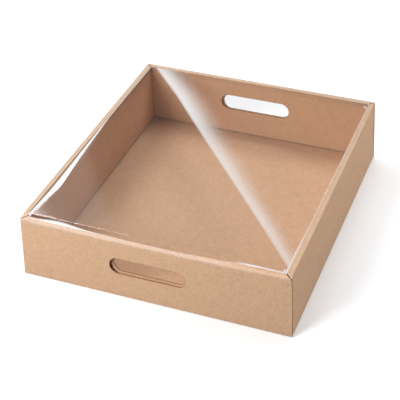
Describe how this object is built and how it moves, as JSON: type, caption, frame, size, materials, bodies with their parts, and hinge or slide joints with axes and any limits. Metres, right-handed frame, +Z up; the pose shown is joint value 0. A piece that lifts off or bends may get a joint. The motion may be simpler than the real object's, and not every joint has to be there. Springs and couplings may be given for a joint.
{
  "type": "cardboard tray box with clear film cover",
  "caption": "Shallow open-topped tray folded from corrugated board, with double walls, end hand slots and a clear film sealed across the opening.",
  "frame": {"origin": "middle of the floor's underside", "axes": "+Z up through the opening, +Y from the front end wall to the back one, +X to the right along the front wall"},
  "size_m": [0.3196, 0.362, 0.082],
  "materials": {
    "kraft_board": "uncoated brown kraft liner on fine corrugated board",
    "clear_film": "clear glossy film"
  },
  "bodies": {
    "root": {"tray": "kraft_board", "film_cover": "clear_film"}
  },
  "joints": []
}
